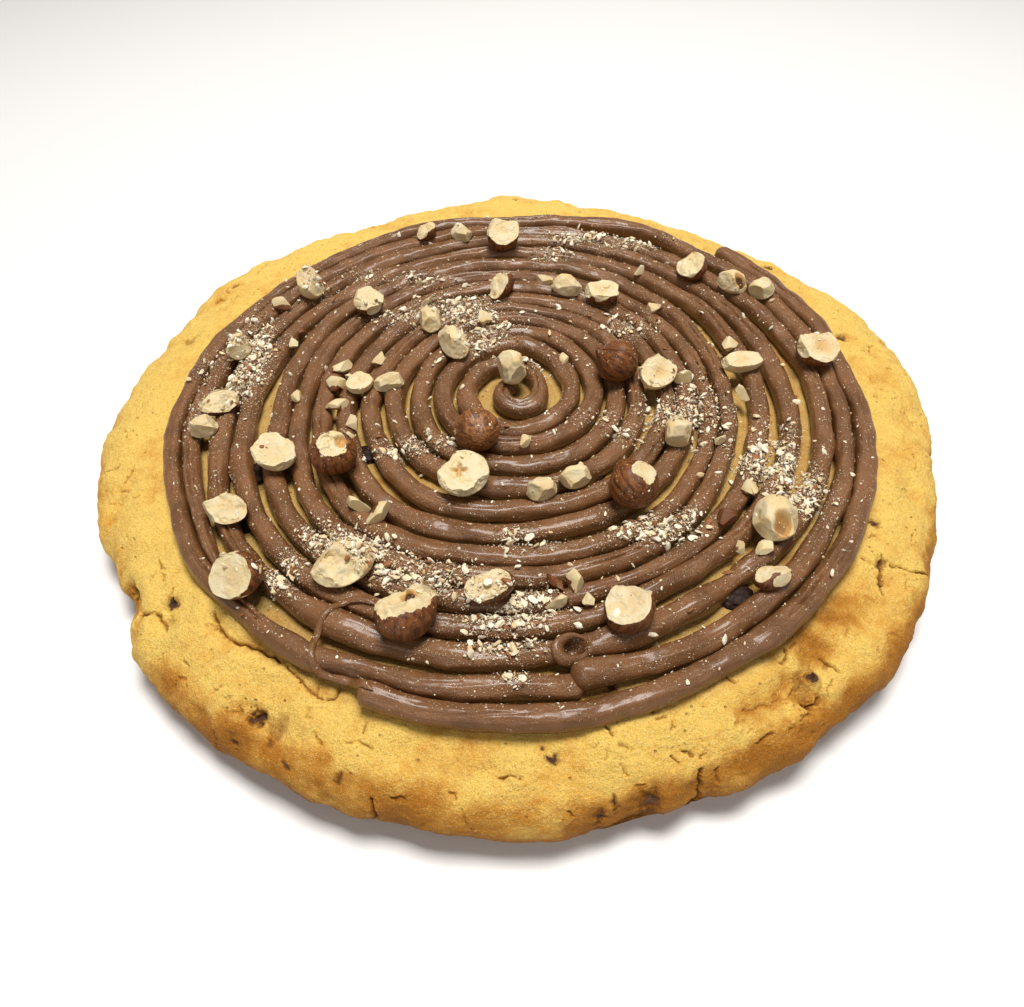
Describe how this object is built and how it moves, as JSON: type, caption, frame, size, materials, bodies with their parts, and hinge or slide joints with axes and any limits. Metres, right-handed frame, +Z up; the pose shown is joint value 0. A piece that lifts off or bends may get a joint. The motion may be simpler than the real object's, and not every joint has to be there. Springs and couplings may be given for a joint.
{
  "type": "cookie cake",
  "caption": "Thick round cookie with an uneven golden rim, topped with a piped spiral of chocolate spread, broken hazelnuts and chopped nut bits",
  "frame": {"origin": "middle of the cookie's bounding box, on the surface that it rests on", "axes": "+Z up through the cookie, -Y towards the viewer of the picture, +X to the viewer's right"},
  "size_m": [0.2634, 0.2624, 0.0375],
  "materials": {
    "dough": "baked golden crust, browner at the rim",
    "spread": "soft chocolate hazelnut spread, satin",
    "hazelnut_skin": "papery brown skin of a whole kernel",
    "hazelnut_flesh": "cream broken nut, with scraps of brown skin"
  },
  "bodies": {
    "root": {"cookie": "dough", "piped_spiral": "spread", "piped_ring_inner": "spread", "piped_ring_outer": "spread", "kernel_1": "hazelnut_skin", "kernel_2": "hazelnut_skin", "kernel_3": "hazelnut_skin", "kernel_4": "hazelnut_skin", "half_1": "hazelnut_flesh", "half_2": "hazelnut_flesh", "half_3": "hazelnut_flesh", "half_4": "hazelnut_flesh", "half_5": "hazelnut_flesh", "half_6": "hazelnut_flesh", "half_7": "hazelnut_flesh", "half_8": "hazelnut_flesh", "half_9": "hazelnut_flesh", "half_10": "hazelnut_flesh", "half_11": "hazelnut_flesh", "half_12": "hazelnut_flesh", "piece_1": "hazelnut_flesh", "piece_2": "hazelnut_flesh", "piece_3": "hazelnut_flesh", "piece_4": "hazelnut_flesh", "piece_5": "hazelnut_flesh", "piece_6": "hazelnut_flesh", "piece_7": "hazelnut_flesh", "piece_8": "hazelnut_flesh", "piece_9": "hazelnut_flesh", "piece_10": "hazelnut_flesh", "piece_11": "hazelnut_flesh", "piece_12": "hazelnut_flesh", "piece_13": "hazelnut_flesh", "piece_14": "hazelnut_flesh", "piece_15": "hazelnut_flesh", "piece_16": "hazelnut_flesh", "piece_17": "hazelnut_flesh", "piece_18": "hazelnut_flesh", "piece_19": "hazelnut_flesh", "piece_20": "hazelnut_flesh", "piece_21": "hazelnut_flesh", "piece_22": "hazelnut_flesh", "piece_23": "hazelnut_flesh"}
  },
  "joints": []
}
